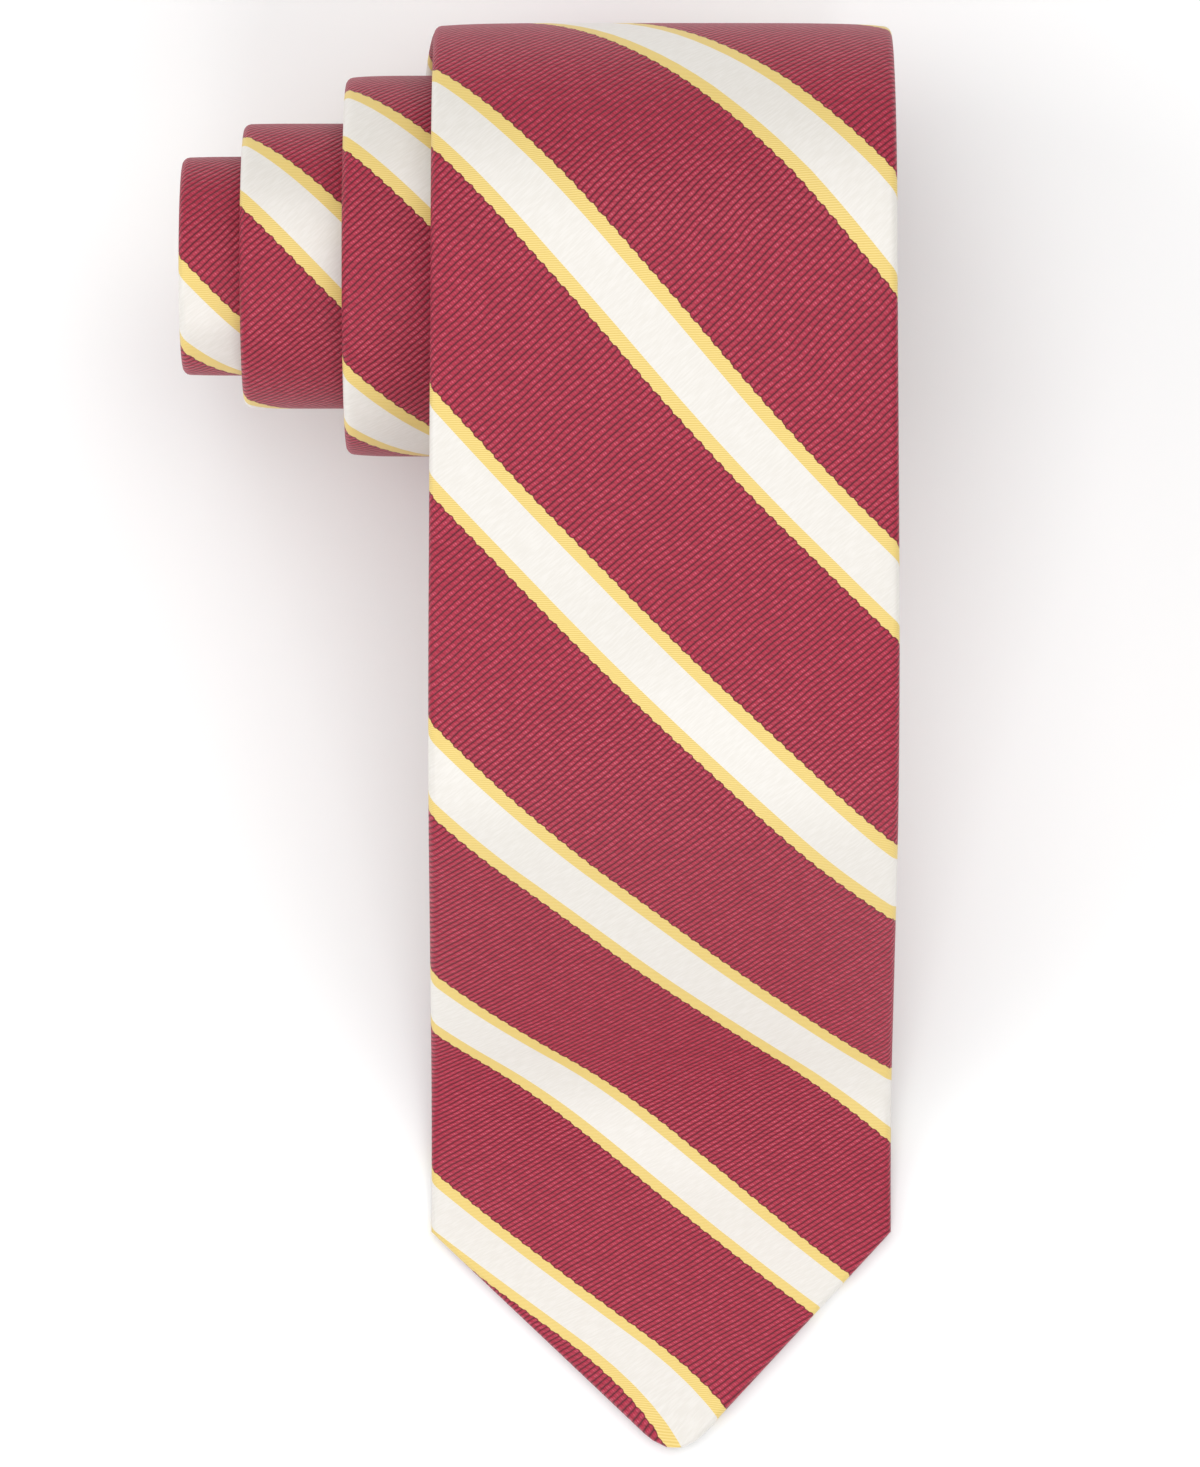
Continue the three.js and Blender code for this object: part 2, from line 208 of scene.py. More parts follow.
def openingAt(st):
    near = np.clip((back["bladeTipping"] - st["along"]) / back["taper"], 0, 1)
    far = np.clip((back["tailTipping"] - st["fromEnd"]) / back["taper"], 0, 1)
    widest = np.clip(st["half"] - back["margin"] - back["seamGap"], 0, None)
    return back["seamGap"] + widest * np.maximum(near, far)


crown = {"blade": 0.9, "roll": [0.6, 0.6, 0.5, 0.5, 0.15, 0.15, 0.2, 0.2, 0.2], "power": 6,
         "narrow": 12}


def crownShift(st, across):  # edges sink below the middle of the cloth; on the table the middle rises
    turns = st["turns"][:, None]
    amount = np.where(turns <= 0, crown["blade"], evenValue(crown["roll"], np.clip(turns, 0, 8)))
    amount = amount * np.clip(st["half"][:, None] / crown["narrow"], 0, 1)
    share = np.abs(across) / np.maximum(st["half"][:, None], 1e-6)
    onTable = smooth((-turns * bladeMark - path["levelRun"]) / (flatStart - path["levelRun"]))
    return amount * (share ** crown["power"] - onTable)


unevenness = {"height": 0.22, "startsAt": 20, "grows": 60, "fades": 40,
              "longWave": (23, 31), "shortWave": (11, 17), "shortShare": 0.6, "shortShift": 1.3}


def wander(st, across):  # slight unevenness of laid cloth, on the free blade alone
    along = st["along"][:, None]
    grown = smooth((along - unevenness["startsAt"]) / unevenness["grows"])
    free = grown * smooth((crestAlong - along) / unevenness["fades"]) * (along < crestAlong)
    longRun, longAcross = unevenness["longWave"]
    shortRun, shortAcross = unevenness["shortWave"]
    ripple = np.sin(along / shortRun - across / shortAcross + unevenness["shortShift"])
    wave = np.sin(along / longRun + across / longAcross) + unevenness["shortShare"] * ripple
    return free * unevenness["height"] * wave


def slices(first, last):
    return {key: value[first:last + 1] for key, value in stations.items()}


def place(st, across, depth):
    depth = depth + crownShift(st, across) + wander(st, across)
    x = st["middle"][:, None] + across + origin[0]
    y = st["y"][:, None] - depth * st["ny"][:, None] + origin[1]
    z = st["z"][:, None] - depth * st["nz"][:, None]
    return np.stack([x, y, z], axis=-1) * mm


def shellContour(st, radius, depth, counts):
    nBack, nArc, nFront = counts
    half, gap = st["half"][:, None], openingAt(st)[:, None]
    inner = half - edgeRadius
    t = np.linspace(0, 1, nBack, endpoint=False)[None, :]
    arc = np.radians(np.linspace(90, -90, nArc, endpoint=False))[None, :]
    ft = np.linspace(1, -1, nFront)[None, :]
    ones = np.ones_like(half)
    backX = lerp(gap, inner, t)
    across = [backX, inner + radius * np.cos(arc), inner * ft,
              -inner - radius * np.cos(arc[:, ::-1]), -lerp(gap, inner, t)[:, ::-1]]
    depths = [ones * depth * np.ones_like(t), ones * (edgeRadius + radius * np.sin(arc)),
              ones * (edgeRadius - radius) * np.ones_like(ft),
              ones * (edgeRadius + radius * np.sin(arc[:, ::-1])), ones * depth * np.ones_like(t)]
    wrap = math.pi * edgeRadius
    arcShare = (math.pi / 2 - arc) / math.pi
    unfolded = [inner + wrap + (inner - backX), inner + wrap * (1 - arcShare), inner * ft,
                -(inner + wrap * (1 - arcShare[:, ::-1])), -(inner + wrap + (inner - backX[:, ::-1]))]
    return (np.concatenate(across, 1), np.concatenate(depths, 1), np.concatenate(unfolded, 1))


def meshFromGrid(name, grid, uv, smoothAngle=50):  # rings close on themselves; ends get caps
    rings, size = grid.shape[:2]
    me = bpy.data.meshes.new(name)
    idx = np.arange(rings * size).reshape(rings, size)
    nxt = np.roll(idx, -1, axis=1)
    quads = np.stack([idx[:-1], nxt[:-1], nxt[1:], idx[1:]], -1).reshape(-1, 4)
    k = np.arange(size // 2 - 1)
    cap = np.stack([k, size - 1 - k, size - 2 - k, k + 1], -1)
    quads = np.concatenate([quads, idx[0][cap], idx[-1][cap][:, ::-1]])
    verts = grid.reshape(-1, 3)
    a, b, c = verts[quads[:, 0]], verts[quads[:, 1]], verts[quads[:, 2]]
    d = verts[quads[:, 3]]
    volume = (np.einsum("ij,ij->i", a, np.cross(b, c)) + np.einsum("ij,ij->i", a, np.cross(c, d))).sum()
    if volume < 0:
        quads = quads[:, ::-1]
    me.from_pydata(verts.tolist(), [], quads.tolist())
    layer = me.uv_layers.new(name="cloth")
    loops = np.empty(len(me.loops), np.int32)
    me.loops.foreach_get("vertex_index", loops)
    layer.data.foreach_set("uv", uv.reshape(-1, 2)[loops].astype(np.float32).ravel())
    me.polygons.foreach_set("use_smooth", [True] * len(me.polygons))
    me.set_sharp_from_angle(angle=math.radians(smoothAngle))
    me.update()
    ob = bpy.data.objects.new(name, me)
    bpy.context.scene.collection.objects.link(ob)
    return ob


def clothUv(st, unfolded):
    u = unfolded + st["body"][:, None]
    v = (st["phase"][:, None] + u * st["lean"][:, None]) * stripes["alongPitch"]
    return np.stack([u, v], -1)


def buildStrip(name, first, last, outer, inner):
    st = slices(first, last)
    sides = []
    for contour in (outer, inner):
        across, depth, unfolded = contour(st)
        sides.append((place(st, across, depth), clothUv(st, unfolded)))
    grid = np.concatenate([sides[0][0], sides[1][0][:, ::-1]], 1)
    uv = np.concatenate([sides[0][1], sides[1][1][:, ::-1]], 1)
    return meshFromGrid(name, grid, uv)


shellCounts = (12, 8, 40)


def shellStrip(name, first, last):
    return buildStrip(
        name, first, last,
        lambda st: shellContour(st, edgeRadius, thick, shellCounts),
        lambda st: shellContour(st, edgeRadius - path["shell"], thick - path["shell"], shellCounts))


def flatStrip(name, first, last, halfOf, outerDepth, innerDepth, count=17):
    def contour(depth):
        def build(st):
            across = halfOf(st)[:, None] * np.linspace(1, -1, count)[None, :]
            return across, np.full_like(across, depth), across
        return build
    return buildStrip(name, first, last, contour(outerDepth), contour(innerDepth))


def indexAtTurn(turn):
    return int(np.argmin(np.abs(stations["turns"] - turn)))


def indexAtAlong(along):
    return int(np.argmin(np.abs(stations["along"] - along)))


def newMaterial(name, roughness, sheen=0.0, sheenTint=(1, 1, 1, 1), specular=0.5):
    mat = bpy.data.materials.new(name)
    mat.use_nodes = True
    bsdf = mat.node_tree.nodes["Principled BSDF"]
    bsdf.inputs["Roughness"].default_value = roughness
    bsdf.inputs["Sheen Weight"].default_value = sheen
    bsdf.inputs["Sheen Tint"].default_value = sheenTint
    bsdf.inputs["Sheen Roughness"].default_value = 0.45
    bsdf.inputs["Specular IOR Level"].default_value = specular
    return mat, bsdf


class Weaver:  # short names for the nodes that a weave needs
    def __init__(self, mat):
        self.tree = mat.node_tree

    def node(self, kind, **values):
        node = self.tree.nodes.new(kind)
        for key, value in values.items():
            setattr(node, key, value)
        return node

    def plug(self, socket, value):
        if hasattr(value, "links"):
            self.tree.links.new(value, socket)
        else:
            socket.default_value = value

    def calc(self, operation, *values):
        node = self.node("ShaderNodeMath", operation=operation)
        for socket, value in zip(node.inputs, values):
            self.plug(socket, value)
        return node.outputs[0]

    def blendColor(self, share, a, b):
        node = self.node("ShaderNodeMix", data_type="RGBA")
        self.plug(node.inputs[0], share)
        self.plug(node.inputs[6], a)
        self.plug(node.inputs[7], b)
        return node.outputs[2]

    def blendValue(self, share, a, b):
        node = self.node("ShaderNodeMix", data_type="FLOAT")
        for socket, value in zip((node.inputs[0], node.inputs[2], node.inputs[3]), (share, a, b)):
            self.plug(socket, value)
        return node.outputs[0]

    def ramp(self, value, low, high, a=0.0, b=1.0):
        node = self.node("ShaderNodeMapRange", interpolation_type="SMOOTHSTEP")
        for socket, item in zip(node.inputs, (value, low, high, a, b)):
            self.plug(socket, item)
        return node.outputs[0]

    def noise(self, vector, scale, detail=2.0):
        node = self.node("ShaderNodeTexNoise")
        self.plug(node.inputs["Vector"], vector)
        node.inputs["Scale"].default_value = scale
        node.inputs["Detail"].default_value = detail
        return node.outputs["Fac"]

    def vector(self, x, y, z=0.0):
        node = self.node("ShaderNodeCombineXYZ")
        for socket, value in zip(node.inputs, (x, y, z)):
            self.plug(socket, value)
        return node.outputs[0]

    def random(self, value):
        node = self.node("ShaderNodeTexWhiteNoise", noise_dimensions="1D")
        self.plug(node.inputs["W"], value)
        return node.outputs["Value"]

    def bump(self, height, strength, distance):
        node = self.node("ShaderNodeBump")
        node.inputs["Strength"].default_value = strength
        node.inputs["Distance"].default_value = distance
        self.plug(node.inputs["Height"], height)
        return node.outputs[0]

    def clothAxes(self):
        uvNode = self.node("ShaderNodeUVMap", uv_map="cloth")
        split = self.node("ShaderNodeSeparateXYZ")
        self.tree.links.new(uvNode.outputs[0], split.inputs[0])
        return split.outputs[0], split.outputs[1]


silkLook = {
    # the darker ground colour is painted shade in the grooves between ribs and also darkens the edge along
    # each gold stripe; the lighter one is a painted highlight on rib crests
    "ground": (0.375, 0.0095, 0.040, 1), "groundDark": (0.105, 0.001, 0.013, 1),
    "groundHighlight": (0.680, 0.110, 0.185, 1),
    "gold": (0.700, 0.500, 0.125, 1), "goldLight": (0.820, 0.640, 0.230, 1),
    "cream": (0.770, 0.742, 0.700, 1), "creamShade": (0.725, 0.695, 0.645, 1),
    "roughness": 0.42, "sheen": 0.06, "sheenTint": (1.0, 0.72, 0.78, 1), "specular": 0.45,
    "ribLowRough": 0.62, "ribHighRough": 0.36, "goldRough": 0.5, "creamRough": 0.34,
    "bumpStrength": 0.55, "bumpDepth": 0.00030,
}
# grainLength and beadPitch are in millimetres, yarnWaver and jagPitch in ribs
weave = {
    "yarnWaver": 0.9, "waverScale": 0.09, "ribRoundness": 0.7,
    "grainLength": 1.35, "grainRoundness": 0.55, "grainScatter": 0.6, "grainSlant": 0.55,
    # the reliefs also set how strong the painted shade and painted highlight in the ground's colour are
    "beadPitch": 0.45, "ribRelief": 0.50, "grainRelief": 0.35, "beadRelief": 0.13,
    "leastTone": 0.82, "toneScatter": 0.20,
    "jagPitch": 2.6, "ribJag": 0.0035, "waveJag": 0.003, "goldBlur": 0.001, "creamBlur": 0.0012,
    "shadeReach": 0.009, "shadeDepth": 0.75,
    "twillAlong": 2.0, "twillAcross": 1.7, "satinAlong": 3.0, "satinAcross": 0.35,
    "ribRise": 0.55, "grainRise": 0.45, "goldLevel": 0.80, "goldRise": 0.14,
    "creamLevel": 0.84, "creamRise": 0.05,
}


def stripedSilk():
    mat, bsdf = newMaterial("stripedSilk", silkLook["roughness"], silkLook["sheen"],
                            silkLook["sheenTint"], silkLook["specular"])
    w = Weaver(mat)
    u, v = w.clothAxes()
    # phase runs across the stripes, one to a repeat; rib counts along them
    phase = w.calc("SUBTRACT", w.calc("DIVIDE", v, stripes["alongPitch"]),
                   w.calc("DIVIDE", u, stripes["acrossPitch"]))
    a, b = stripes["acrossPitch"], stripes["alongPitch"]
    size = math.hypot(a, b)
    rib = w.calc("DIVIDE", w.calc("ADD", w.calc("MULTIPLY", u, a / size),
                                  w.calc("MULTIPLY", v, b / size)), stripes["ribPitch"])
    acrossStripe = w.calc("MULTIPLY", phase, a * b / size)  # millimetres
    # yarns waver a little
    plane = w.vector(rib, acrossStripe)
    waver = w.calc("SUBTRACT", w.noise(plane, weave["waverScale"]), 0.5)
    rib = w.calc("ADD", rib, w.calc("MULTIPLY", waver, weave["yarnWaver"]))
    ribCount = w.calc("FLOOR", rib)
    ribPart = w.calc("SUBTRACT", rib, ribCount)
    ribRandom = w.random(ribCount)
    ribRound = w.calc("POWER", w.calc("SINE", w.calc("MULTIPLY", ribPart, math.pi)), weave["ribRoundness"])
    # rice-grain floats lie along each rib, shifted from rib to rib
    grainShift = w.calc("ADD", w.calc("MULTIPLY", ribRandom, weave["grainScatter"]),
                        w.calc("MULTIPLY", ribPart, weave["grainSlant"]))
    grain = w.calc("ADD", w.calc("DIVIDE", acrossStripe, weave["grainLength"]), grainShift)
    grainPart = w.calc("FRACT", grain)
    grainRound = w.calc("POWER", w.calc("SINE", w.calc("MULTIPLY", grainPart, math.pi)),
                        weave["grainRoundness"])
    grainTone = w.random(w.calc("ADD", w.calc("MULTIPLY", ribCount, 7.31), w.calc("FLOOR", grain)))
    # stripe edges step with the ribs
    distance = w.calc("ABSOLUTE", w.calc("SUBTRACT", phase, w.calc("ROUND", phase)))
    jagWave = w.calc("SINE", w.calc("MULTIPLY", rib, math.tau / weave["jagPitch"]))
    jag = w.calc("ADD", w.calc("MULTIPLY", w.calc("SUBTRACT", ribRound, 0.5), weave["ribJag"]),
                 w.calc("MULTIPLY", jagWave, weave["waveJag"]))
    stepped = w.calc("ADD", distance, jag)
    gold = w.ramp(stepped, stripes["goldHalf"] + weave["goldBlur"], stripes["goldHalf"] - weave["goldBlur"])
    cream = w.ramp(distance, stripes["creamHalf"] + weave["creamBlur"],
                   stripes["creamHalf"] - weave["creamBlur"])
    # ground colour: painted shade in the grooves between ribs and a painted highlight on rib crests, grains
    # and beads, with a random tone per grain
    # weft beads along each rib: painted glints in the ribs' highlight
    bead = w.calc("SINE", w.calc("ADD", w.calc("MULTIPLY", acrossStripe, math.tau / weave["beadPitch"]),
                                 w.calc("MULTIPLY", ribRandom, math.tau)))
    relief = w.calc("ADD", w.calc("MULTIPLY", grainRound, weave["grainRelief"]),
                    w.calc("MULTIPLY", bead, weave["beadRelief"]))
    high = w.calc("MULTIPLY", ribRound, w.calc("ADD", weave["ribRelief"], relief))
    scatter = w.calc("MULTIPLY", grainTone, weave["toneScatter"])
    tone = w.calc("MULTIPLY", high, w.calc("ADD", weave["leastTone"], scatter))
    # painted shade: the ground darkens towards its darker colour in the grooves between ribs
    ground = w.blendColor(w.ramp(tone, 0.12, 0.62), silkLook["groundDark"], silkLook["ground"])
    # painted highlight: rib crests, grains and beads lighten towards a pinkish highlight colour
    ground = w.blendColor(w.ramp(tone, 0.66, 1.0, 0, 0.62), ground, silkLook["groundHighlight"])
    # gold is a fine twill, cream a satin with faint lines
    twillLine = w.calc("ADD", w.calc("MULTIPLY", rib, weave["twillAlong"]),
                       w.calc("MULTIPLY", acrossStripe, weave["twillAcross"]))
    twill = w.calc("SINE", w.calc("MULTIPLY", twillLine, math.tau))
    goldTone = w.calc("ADD", 0.5, w.calc("MULTIPLY", twill, 0.5))
    goldColor = w.blendColor(goldTone, silkLook["gold"], silkLook["goldLight"])
    satinPlane = w.vector(w.calc("MULTIPLY", rib, weave["satinAlong"]),
                          w.calc("MULTIPLY", acrossStripe, weave["satinAcross"]))
    satin = w.noise(satinPlane, 1.0, 3)
    creamColor = w.blendColor(w.ramp(satin, 0.35, 0.7), silkLook["creamShade"], silkLook["cream"])
    color = w.blendColor(gold, ground, goldColor)
    color = w.blendColor(cream, color, creamColor)
    # a shade of ground along each gold edge
    nearGold = w.ramp(stepped, stripes["goldHalf"] + weave["shadeReach"],
                      stripes["goldHalf"] + weave["goldBlur"])
    edgeDark = w.calc("MULTIPLY", nearGold, w.calc("SUBTRACT", 1.0, gold))
    color = w.blendColor(w.calc("MULTIPLY", edgeDark, weave["shadeDepth"]), color, silkLook["groundDark"])
    w.plug(bsdf.inputs["Base Color"], color)
    ribRough = w.blendValue(high, silkLook["ribLowRough"], silkLook["ribHighRough"])
    rough = w.blendValue(gold, ribRough, silkLook["goldRough"])
    w.plug(bsdf.inputs["Roughness"], w.blendValue(cream, rough, silkLook["creamRough"]))
    grainRise = w.calc("ADD", weave["ribRise"], w.calc("MULTIPLY", grainRound, weave["grainRise"]))
    goldHeight = w.calc("ADD", weave["goldLevel"], w.calc("MULTIPLY", goldTone, weave["goldRise"]))
    creamHeight = w.calc("ADD", weave["creamLevel"], w.calc("MULTIPLY", satin, weave["creamRise"]))
    height = w.blendValue(gold, w.calc("MULTIPLY", ribRound, grainRise), goldHeight)
    height = w.blendValue(cream, height, creamHeight)
    w.plug(bsdf.inputs["Normal"], w.bump(height, silkLook["bumpStrength"], silkLook["bumpDepth"]))
    return mat


plainLook = {"sheen": 0.2, "cloudScale": 160.0, "waveShare": 0.3, "bumpShare": 0.25, "slantRatio": 0.3}


def plainWeave(name, color, dark, roughness, pitch, strength=0.5, diagonal=False):
    mat, bsdf = newMaterial(name, roughness, sheen=plainLook["sheen"])
    w = Weaver(mat)
    coords = w.node("ShaderNodeTexCoord").outputs["Object"]
    split = w.node("ShaderNodeSeparateXYZ")
    w.plug(split.inputs[0], coords)
    x = w.calc("DIVIDE", split.outputs[0], pitch)
    y = w.calc("DIVIDE", w.calc("ADD", split.outputs[1], split.outputs[2]), pitch)
    if diagonal:
        slant = w.calc("MULTIPLY", w.calc("SUBTRACT", x, y), plainLook["slantRatio"])
        x, y = w.calc("ADD", x, y), slant
    waves = w.calc("MULTIPLY", w.calc("SINE", w.calc("MULTIPLY", x, math.tau)),
                   w.calc("SINE", w.calc("MULTIPLY", y, math.tau)))
    cloud = w.noise(coords, plainLook["cloudScale"], 4.0)
    tone = w.calc("ADD", w.calc("MULTIPLY", waves, plainLook["waveShare"]), cloud)
    w.plug(bsdf.inputs["Base Color"], w.blendColor(w.ramp(tone, 0.15, 0.8), dark, color))
    w.plug(bsdf.inputs["Normal"], w.bump(waves, strength, pitch * plainLook["bumpShare"]))
    return mat


silk = stripedSilk()
woolLining = plainWeave("woolLining", (0.80, 0.76, 0.66, 1), (0.60, 0.55, 0.45, 1), 0.95, 0.0011)
tippingSilk = plainWeave("tippingSilk", (0.26, 0.011, 0.040, 1), (0.17, 0.006, 0.024, 1), 0.33, 0.0004,
                         diagonal=True)
sewingThread = plainWeave("sewingThread", (0.22, 0.010, 0.032, 1), (0.09, 0.003, 0.012, 1), 0.55,
                          0.00035, diagonal=True)
labelSatin = plainWeave("labelSatin", (0.86, 0.82, 0.72, 1), (0.72, 0.67, 0.56, 1), 0.45, 0.0005)
print("materials ready")


def finish(piece, material):
    piece.data.materials.clear()
    piece.data.materials.append(material)
    return piece


lengths = [
    ("bladeSilk", None, 0.25, "outer_roll", "blade", ["blade_shell"], "laid"),
    ("outerSilk", 0.25, 1.25, "outer_roll", None, ["outer_turn_shell"], "folded"),
    ("outerPassSilk", 1.25, 1.75, "outer_roll", "middle_roll", [], "folded"),
    ("middleSilk", 1.75, 3.25, "middle_roll", None, ["middle_turn_shell"], "folded"),
    ("middlePassSilk", 3.25, 3.75, "middle_roll", "inner_roll", [], "folded"),
    ("innerSilk", 3.75, 5.25, "inner_roll", None, ["inner_turn_shell"], "folded"),
    ("innerPassSilk", 5.25, 5.75, "inner_roll", "tail_roll", [], "folded"),
    ("tailSilk", 5.75, None, "tail_roll", None, ["tail_shell"], "folded"),
]


def attach(piece, bodyA, bodyB):
    if bodyB is None:
        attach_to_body(piece, bodyA)
    elif bodyB == "blade":
        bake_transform(piece)
    else:
        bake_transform(piece)


liningCut = {"endInset": 1.6, "leastHalf": 0.3, "clearShare": 0.6}
liningDepth = path["shell"] + path["layerGap"] * liningCut["clearShare"]


def liningHalf(st):
    return np.maximum(st["half"] - edgeRadius, liningCut["leastHalf"])


for name, start, end, bodyA, bodyB, nodes, held in lengths:
    first = 0 if start is None else indexAtTurn(start)
    last = len(stations["turns"]) - 1 if end is None else indexAtTurn(end)
    shell = finish(shellStrip(name, first, last), silk)
    attach(shell, bodyA, bodyB)
    if nodes:
        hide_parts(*nodes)
    liningFirst = indexAtAlong(liningCut["endInset"]) if start is None else first
    liningLast = indexAtAlong(tieLength - liningCut["endInset"]) if end is None else last
    lining = flatStrip(name.replace("Silk", "Lining"), liningFirst, liningLast, liningHalf,
                       liningDepth, thick - liningDepth)
    finish(lining, woolLining)
    attach(lining, bodyA, bodyB)
    if nodes:
        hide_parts(nodes[0].replace("_shell", "_interlining"))
print("silk and lining ready")


# The back: tipping, keeper loop and labels
def backSpot(along, across=0.0, standOff=0.0):  # point in mm, way along the tie, way out of the back
    low = int(np.clip(np.searchsorted(stations["along"], along) - 1, 0, len(stations["along"]) - 2))
    span = stations["along"][low + 1] - stations["along"][low]
    share = (along - stations["along"][low]) / span
    st = {key: np.array([lerp(value[low], value[low + 1], share)]) for key, value in stations.items()}
    point = place(st, np.array([[float(across)]]), thick + standOff)[0, 0] / mm
    out = np.array([0, -st["ny"][0], -st["nz"][0]])
    out = out / np.linalg.norm(out)
    return point, np.array([0, out[2], -out[1]]), out


def bandMesh(name, centres, sides, outs, width, thickness, cornerStart=8, cornerSteps=4, flatSteps=9):
    # a flat band with rounded edges: sides run across its width, outs through its thickness
    centres, sides, outs = (np.asarray(v, float) for v in (centres, sides, outs))
    r = thickness / 2
    turn = np.radians(np.linspace(cornerStart, 90, cornerSteps))
    right = np.stack([width / 2 - r + r * np.cos(turn), r * np.sin(turn)], 1)
    flat = np.stack([np.linspace(width / 2 - r, r - width / 2, flatSteps)[1:-1],
                     np.full(flatSteps - 2, r)], 1)
    left = right[::-1] * [-1, 1]
    top = np.concatenate([right, flat, left])
    ring = np.concatenate([top, top[::-1] * [1, -1]])
    grid = (centres[:, None, :] + sides[:, None, :] * ring[None, :, :1]
            + outs[:, None, :] * ring[None, :, 1:])
    run = np.concatenate([[0], np.cumsum(np.linalg.norm(np.diff(centres, axis=0), axis=1))])
    uv = np.stack([ring[None, :, 0] + 0 * run[:, None], run[:, None] + 0 * ring[None, :, 0]], -1)
    return meshFromGrid(name, grid * mm, uv)


bladeSilk = bpy.data.objects["bladeSilk"]
tailSilk = bpy.data.objects["tailSilk"]

tippingCut = {"overlap": 3, "leastHalf": 0.5, "deepFace": 0.62, "backFace": 0.52, "columns": 33,
              "pastStart": 4, "pastSeam": 2, "tailInset": 7}


def tippingHalf(st):  # reaches a little way under both margins
    widest = np.minimum(openingAt(st) + tippingCut["overlap"], st["half"] - tippingCut["overlap"])
    return np.clip(widest, tippingCut["leastHalf"], None)


for name, node, first, last, body, cloth in (
        ("bladeTipping", "blade_tipping", back["tippingStart"] - tippingCut["pastStart"],
         back["bladeTipping"] + tippingCut["pastSeam"], "blade", bladeSilk),
        ("tailTipping", "tail_tipping", tieLength - back["tailTipping"] - tippingCut["pastSeam"],
         tieLength - tippingCut["tailInset"], "tail_roll", tailSilk)):
    iFirst, iLast = indexAtAlong(first), indexAtAlong(last)
    tipping = flatStrip(name, iFirst, iLast, tippingHalf, thick - tippingCut["deepFace"],
                        thick - tippingCut["backFace"], tippingCut["columns"])
    finish(tipping, tippingSilk)
    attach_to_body(tipping, body)
    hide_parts(node)

keeper = {"fromCrest": 53, "span": 46, "foot": 5, "height": 12, "rise": 5.4, "thick": 0.8,
          "standOff": 0.5, "shoulder": 0.06, "steps": 44}


def keeperLoop():
    reach = keeper["span"] / 2 + keeper["foot"]
    across = np.linspace(-reach, reach, keeper["steps"])
    share = np.clip((across / keeper["span"]) + 0.5, 0, 1)
    shoulder = smooth((0.5 - np.abs(share - 0.5)) / keeper["shoulder"])
    rise = keeper["rise"] * np.sqrt(np.sin(np.pi * share)) * shoulder
    centres, sides = [], []
    for x, h in zip(across, rise):
        point, way, out = backSpot(crestAlong - keeper["fromCrest"], x, keeper["standOff"] + h)
        centres.append(point)
        sides.append(way)
    centres = np.array(centres)
    tangent = np.gradient(centres, axis=0)
    tangent /= np.linalg.norm(tangent, axis=1)[:, None]
    outs = np.cross(tangent, np.array(sides))
    loop = bandMesh("keeperLoop", centres, sides, outs, keeper["height"], keeper["thick"])
    finish(loop, keeperSilk)
    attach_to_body(loop, "blade")
    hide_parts("keeper_loop")


makerLabel = {"fromPoint": 116, "across": 44, "along": 16, "thick": 0.45,
              "standOff": 0.38, "ripple": 0.18, "rippleRun": 7, "columns": 34}
careLabel = {"across": 18, "drop": 21.5, "thick": 0.35, "curl": 1.6, "topInset": 0.2, "rows": 22}


def labelPlate():
    across = np.linspace(-makerLabel["across"] / 2, makerLabel["across"] / 2, makerLabel["columns"])
    lift = makerLabel["standOff"] + makerLabel["ripple"] * np.cos(across / makerLabel["rippleRun"])
    spots = [backSpot(makerLabel["fromPoint"], x, h) for x, h in zip(across, lift)]
    plate = bandMesh("makerLabel", [s[0] for s in spots], [s[1] for s in spots],
                     [s[2] for s in spots], makerLabel["along"], makerLabel["thick"])
    finish(plate, labelSatin)
    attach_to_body(plate, "blade")
    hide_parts("maker_label")


def careTab():
    low, high = (np.array(v) / mm for v in (careLow, careHigh))
    middle = (low + high) / 2
    share = np.linspace(0, 1, careLabel["rows"])
    top = high[2] - careLabel["topInset"]
    centres = [(middle[0], middle[1] + careLabel["curl"] * t * t, top - careLabel["drop"] * t)
               for t in share]
    lean = [2 * careLabel["curl"] * t / careLabel["drop"] for t in share]
    outs = [np.array([0, 1, a]) / math.hypot(1, a) for a in lean]
    tab = bandMesh("careTab", centres, [np.array([1.0, 0, 0])] * len(share), outs,
                   careLabel["across"], careLabel["thick"])
    finish(tab, labelSatin)
    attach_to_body(tab, "care_tab")
    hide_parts("care_label")


keeperSilk = plainWeave("keeperSilk", (0.33, 0.014, 0.052, 1), (0.11, 0.003, 0.018, 1), 0.42, 0.0009,
                        strength=0.7, diagonal=True)
keeperLoop()
labelPlate()
careTab()
print("back pieces ready")


threadShape = {"segments": 8, "rings": 6}


